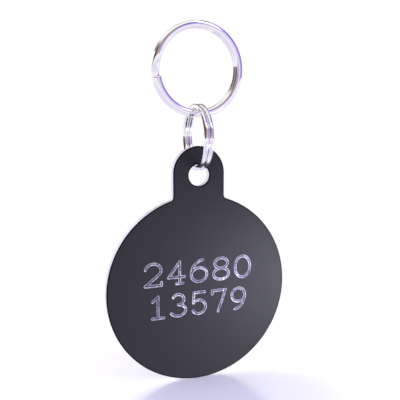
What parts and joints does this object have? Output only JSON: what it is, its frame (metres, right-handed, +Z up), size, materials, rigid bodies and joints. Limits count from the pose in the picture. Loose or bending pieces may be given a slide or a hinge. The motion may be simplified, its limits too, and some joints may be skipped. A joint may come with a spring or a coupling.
{
  "type": "pet id tag",
  "caption": "Round black engraved pet id tag with a holed lug, hanging from a small split ring on a large split ring for the collar.",
  "frame": {"origin": "where the collar's loop bears: the top of the large ring's opening, midway through the ring's depth", "axes": "+Z up, against the pull of gravity as the tag hangs; +Y away from the engraved face, along the large ring's axis; +X to the right as the digits are read"},
  "size_m": [0.038, 0.013, 0.0716],
  "materials": {
    "anodised_aluminium": "satin black anodised faces with a bare bright edge and bright engraved lines",
    "ring_chrome": "polished nickel-chrome plate on spring steel"
  },
  "bodies": {
    "large_ring": {"large_split_ring": "ring_chrome"},
    "small_ring": {"small_split_ring": "ring_chrome"},
    "tag_plate": {"tag": "anodised_aluminium"}
  },
  "joints": [
    {"name": "small_ring_travel", "type": "hinge", "parent": "large_ring", "child": "small_ring", "pos_m": [0, 0, -0.00773], "axis": [0, 1, 0], "continuous": true},
    {"name": "tag_swing", "type": "hinge", "parent": "small_ring", "child": "tag_plate", "pos_m": [0, 0, -0.02079], "axis": [1, 0, 0], "range_deg": [-150, 150]}
  ]
}
